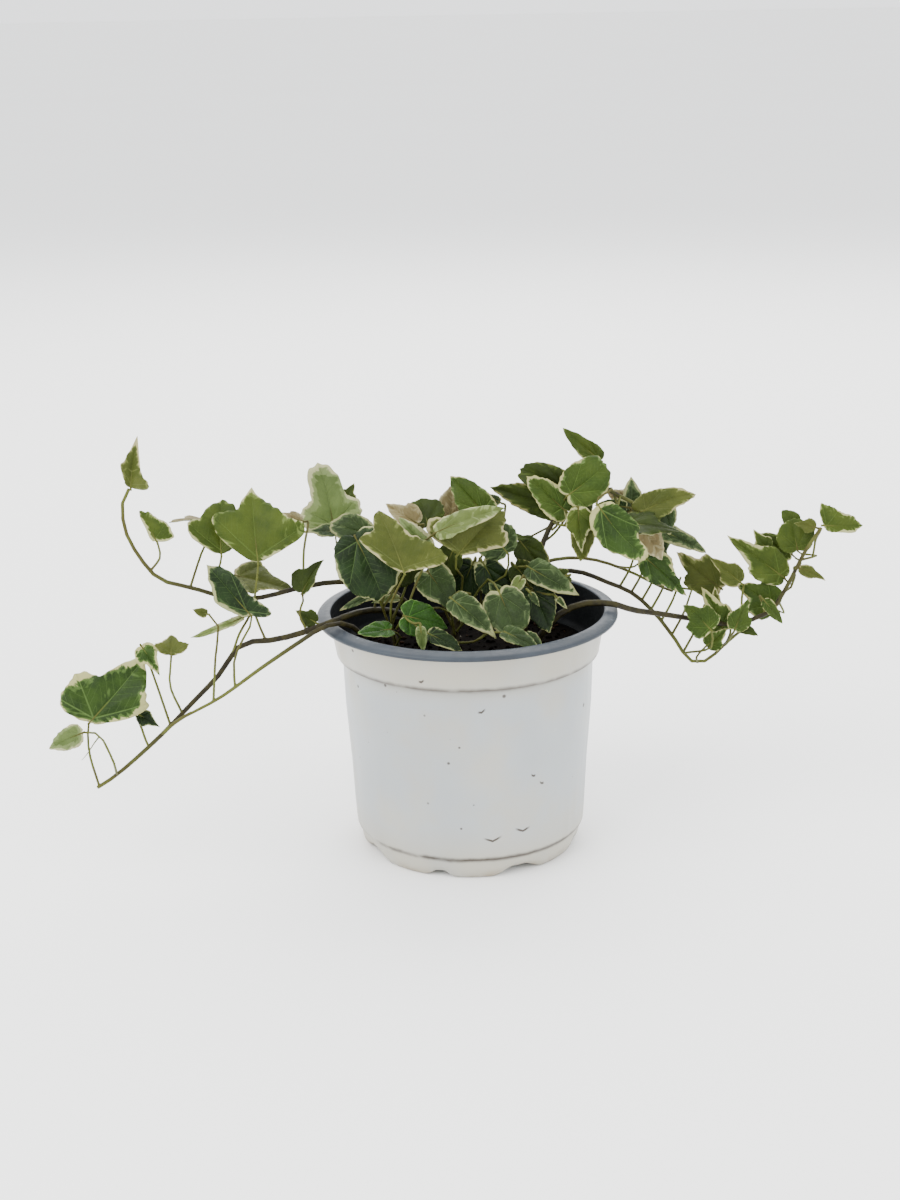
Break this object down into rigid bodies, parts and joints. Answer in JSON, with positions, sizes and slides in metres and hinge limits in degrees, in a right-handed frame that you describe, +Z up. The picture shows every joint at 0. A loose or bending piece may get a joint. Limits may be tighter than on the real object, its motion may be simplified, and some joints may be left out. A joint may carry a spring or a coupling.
{
  "type": "potted ivy",
  "caption": "Trailing variegated ivy in a round thin-walled plastic nursery pot, with leafy vines reaching out over the rim on both sides.",
  "frame": {"origin": "on the pot's axis, at the level of the surface it stands on", "axes": "+X to the right along the spread of the vines, -Y towards the viewer, +Z up"},
  "size_m": [0.388, 0.1424, 0.2061],
  "materials": {
    "pot_plastic": "off-white outside with a blue-grey lip and a charcoal inside, specked and scuffed",
    "potting_soil": null,
    "stem_bark": "olive-brown young bark on the stems and pale olive stalks",
    "leaf_dark": "waxy dark green blade with pale veins and a cream edge",
    "leaf_green": "waxy mid-green blade with an uneven cream edge",
    "leaf_grey": "waxy grey-green blade with a broad cream edge",
    "leaf_olive": "olive-yellow blade that shows its paler underside, with a cream edge"
  },
  "bodies": {
    "root": {"pot": "pot_plastic", "soil": "potting_soil", "vine_upper_left": "stem_bark", "leaf_upper_left_1": "leaf_grey", "leaf_upper_left_2": "leaf_olive", "leaf_upper_left_3": "leaf_green", "leaf_upper_left_4": "leaf_olive", "leaf_upper_left_5": "leaf_green", "leaf_upper_left_6": "leaf_olive", "vine_lower_left": "stem_bark", "leaf_lower_left_1": "leaf_grey", "leaf_lower_left_2": "leaf_dark", "leaf_lower_left_3": "leaf_olive", "leaf_lower_left_4": "leaf_green", "leaf_lower_left_5": "leaf_dark", "leaf_lower_left_6": "leaf_green", "leaf_lower_left_7": "leaf_grey", "vine_lower_left_branch": "stem_bark", "leaf_lower_left_branch_1": "leaf_dark", "leaf_lower_left_branch_2": "leaf_olive", "vine_crown_left": "stem_bark", "leaf_crown_left_1": "leaf_green", "leaf_crown_left_2": "leaf_olive", "leaf_crown_left_3": "leaf_dark", "vine_crown_middle": "stem_bark", "leaf_crown_middle_1": "leaf_green", "leaf_crown_middle_2": "leaf_grey", "leaf_crown_middle_3": "leaf_grey", "leaf_crown_middle_4": "leaf_grey", "leaf_crown_middle_5": "leaf_olive", "leaf_crown_middle_6": "leaf_dark", "leaf_crown_middle_7": "leaf_olive", "leaf_crown_middle_8": "leaf_green", "leaf_crown_middle_9": "leaf_dark", "leaf_crown_middle_10": "leaf_green", "leaf_crown_middle_11": "leaf_dark", "leaf_crown_middle_12": "leaf_grey", "vine_top_right": "stem_bark", "leaf_top_right_1": "leaf_green", "leaf_top_right_2": "leaf_green", "leaf_top_right_3": "leaf_green", "leaf_top_right_4": "leaf_green", "leaf_top_right_5": "leaf_green", "leaf_top_right_6": "leaf_olive", "leaf_top_right_7": "leaf_grey", "leaf_top_right_8": "leaf_olive", "leaf_top_right_9": "leaf_olive", "vine_right_long": "stem_bark", "leaf_right_long_1": "leaf_olive", "leaf_right_long_2": "leaf_green", "leaf_right_long_3": "leaf_green", "leaf_right_long_4": "leaf_green", "leaf_right_long_5": "leaf_green", "leaf_right_long_6": "leaf_olive", "vine_right_low": "stem_bark", "leaf_right_low_1": "leaf_green", "leaf_right_low_2": "leaf_green", "vine_right_short": "stem_bark", "leaf_right_short_1": "leaf_olive", "leaf_right_short_2": "leaf_grey"}
  },
  "joints": []
}
